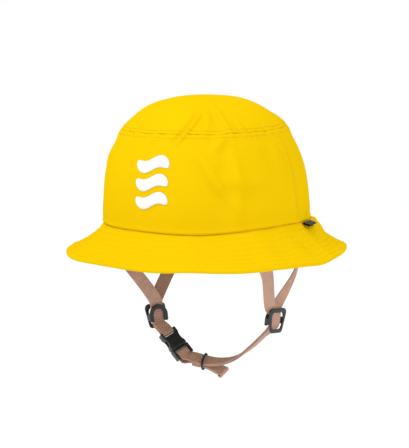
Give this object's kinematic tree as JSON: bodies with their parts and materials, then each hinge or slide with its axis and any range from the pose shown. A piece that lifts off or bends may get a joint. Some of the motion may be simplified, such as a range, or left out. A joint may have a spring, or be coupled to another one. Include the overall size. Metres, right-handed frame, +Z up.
{
  "type": "water helmet",
  "caption": "Water-sports helmet in a bucket-hat cloth cover with a wide brim, hard shell, foam liner and a webbing chin strap with a side-release buckle.",
  "frame": {"origin": "centre of the head opening, in the plane where the brim is sewn to the crown", "axes": "+Z up through the crown, +X to the wearer's left, -Y to the front"},
  "size_m": [0.296, 0.3346, 0.3164],
  "materials": {
    "cover_cloth": "tightly woven matt yellow cloth",
    "underbrim_cloth": "plain weave yellow cloth",
    "brim_board": "flexible foam board",
    "emblem": "raised white embroidery",
    "tag": "black folded tape",
    "shell": "smooth moulded shell",
    "foam": "moulded bead foam",
    "pad_cloth": "brushed knit over soft foam",
    "webbing": "woven nylon webbing, dusty rose brown",
    "rivet": "plain",
    "keeper": "smooth matt black rubber",
    "hardware": "moulded black acetal, fine satin"
  },
  "bodies": {
    "helmet": {"crown_top_panel": "cover_cloth", "side_panel_front": "cover_cloth", "side_panel_rear": "cover_cloth", "brim_front_panel": "cover_cloth", "brim_rear_panel": "cover_cloth", "brim_stiffener": "brim_board", "underbrim_front_panel": "underbrim_cloth", "underbrim_rear_panel": "underbrim_cloth", "impact_liner": "foam", "brow_pad": "pad_cloth", "nape_pad": "pad_cloth", "left_side_pad": "pad_cloth", "right_side_pad": "pad_cloth", "crown_pad": "pad_cloth", "emblem_wave_bottom": "emblem", "emblem_wave_middle": "emblem", "emblem_wave_top": "emblem", "side_tag": "tag", "right_front_anchor": "hardware", "right_front_rivet": "rivet", "right_rear_anchor": "hardware", "right_rear_rivet": "rivet", "left_front_anchor": "hardware", "left_front_rivet": "rivet", "left_rear_anchor": "hardware", "left_rear_rivet": "rivet", "outer_shell": "shell", "buckle_socket": "hardware", "right_front_webbing": "webbing", "right_rear_webbing": "webbing", "left_front_webbing": "webbing", "left_rear_webbing": "webbing", "right_lower_webbing_inner": "webbing", "right_lower_webbing_outer": "webbing", "chin_webbing_upper": "webbing", "chin_webbing_lower": "webbing"},
    "right_divider": {"right_divider": "hardware"},
    "left_divider": {"left_divider": "hardware"},
    "plug": {"buckle_plug": "hardware"},
    "front_prong": {"front_prong": "hardware"},
    "rear_prong": {"rear_prong": "hardware"},
    "keeper": {"keeper_ring": "keeper"},
    "tail": {"strap_tail": "webbing"}
  },
  "joints": [
    {"name": "right_divider_slide", "type": "slide", "parent": "helmet", "child": "right_divider", "axis": [-0.1191, 0, 0.9929], "range_m": [-0.001, 0.003], "deforming": ["right_front_webbing", "right_rear_webbing"]},
    {"name": "left_divider_slide", "type": "slide", "parent": "helmet", "child": "left_divider", "axis": [0.1191, 0, 0.9929], "range_m": [-0.001, 0.003], "deforming": ["left_front_webbing", "left_rear_webbing"]},
    {"name": "buckle_release", "type": "slide", "parent": "helmet", "child": "plug", "axis": [0.6801, 0, -0.7331], "range_m": [0, 0.026], "deforming": ["chin_webbing_upper", "chin_webbing_lower"]},
    {"name": "front_prong_squeeze", "type": "hinge", "parent": "plug", "child": "front_prong", "pos_m": [-0.0504, 0.01728, -0.15286], "axis": [0.609, -0.5567, 0.565], "range_deg": [-6, 0], "stiffness_Nm_per_rad": 0.05},
    {"name": "rear_prong_squeeze", "type": "hinge", "parent": "plug", "child": "rear_prong", "pos_m": [-0.04518, 0.02792, -0.14801], "axis": [0.609, -0.5567, 0.565], "range_deg": [0, 6], "stiffness_Nm_per_rad": 0.05},
    {"name": "keeper_slide", "type": "slide", "parent": "plug", "child": "keeper", "axis": [0.9998, 0, -0.02], "range_m": [-0.002, 0.002]},
    {"name": "tail_slide", "type": "slide", "parent": "plug", "child": "tail", "axis": [0.995, 0, -0.0995], "range_m": [0, 0.008]}
  ]
}
